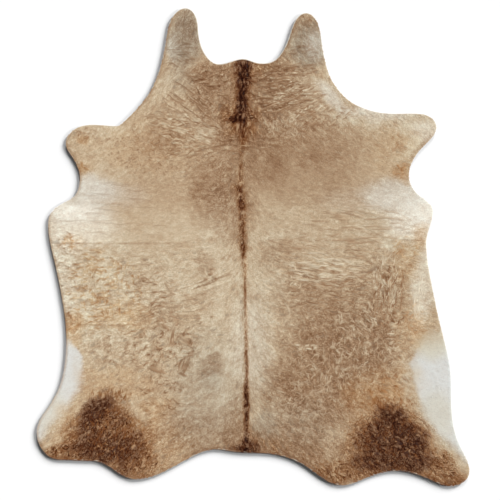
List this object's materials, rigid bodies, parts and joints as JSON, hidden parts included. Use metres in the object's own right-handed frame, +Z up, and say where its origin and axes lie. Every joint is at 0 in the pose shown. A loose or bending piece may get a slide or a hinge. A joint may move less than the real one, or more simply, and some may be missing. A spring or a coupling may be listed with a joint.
{
  "type": "cowhide rug",
  "caption": "Whole hair-on cowhide lying flat, hair side up, with neck flaps, forelegs and hind legs cut to the skin's own outline.",
  "frame": {"origin": "middle of the hide's bounding box, on the surface that it lies on", "axes": "+Z up out of the hair side, +Y towards the neck, +X towards the hide's right side as seen from above"},
  "size_m": [1.9, 2.1, 0.0058],
  "materials": {
    "hair_on_hide": "short flat-lying hair, taupe and cream with a dark spine line, dark haunch patches and white belly edges; pale suede flesh side"
  },
  "bodies": {
    "root": {"hide": "hair_on_hide"}
  },
  "joints": []
}
